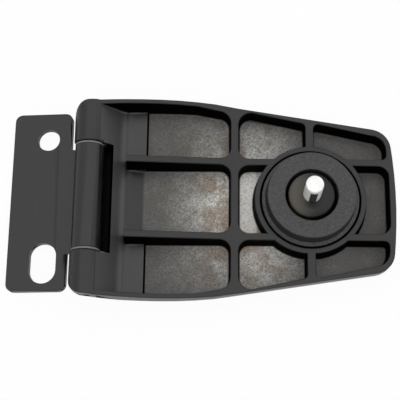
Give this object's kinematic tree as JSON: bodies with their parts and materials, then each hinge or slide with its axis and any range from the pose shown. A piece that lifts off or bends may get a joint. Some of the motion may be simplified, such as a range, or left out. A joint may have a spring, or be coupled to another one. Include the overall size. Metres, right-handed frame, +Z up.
{
  "type": "liftgate hinge",
  "caption": "Liftgate glass hinge: a rolled steel leaf with a bolt hole and a slot, pinned to a ribbed black cast cover that carries a round rubber glass seat and a bright stud.",
  "frame": {"origin": "middle of the base of the box around the hinge as it lies on its cover's outer face", "axes": "+X from the leaf towards the cover's tip, +Y along the hinge pin, +Z up along the stud"},
  "size_m": [0.1771, 0.0942, 0.0347],
  "materials": {
    "black_casting": "satin black coat on a die casting, rougher on the pocket floors",
    "black_sheet": "satin black coat on sheet steel",
    "bushing_liner": "dull pale beige liner, its material judged from its colour",
    "pin_steel": "plain ground steel",
    "rubber": "matt moulded rubber",
    "black_moulding": "smooth black moulding",
    "stud_steel": "bright plated steel"
  },
  "bodies": {
    "leaf": {"leaf_plate": "black_sheet", "barrel_bushing_upper": "bushing_liner", "barrel_bushing_lower": "bushing_liner"},
    "cover": {"cover_casting": "black_casting", "hinge_pin": "pin_steel", "glass_pad": "rubber", "stud_bush": "black_moulding", "stud": "stud_steel"}
  },
  "joints": [
    {"name": "cover_hinge", "type": "hinge", "parent": "leaf", "child": "cover", "pos_m": [-0.05233, 0, 0.011], "axis": [0, 1, 0], "range_deg": [-15, 72]}
  ]
}
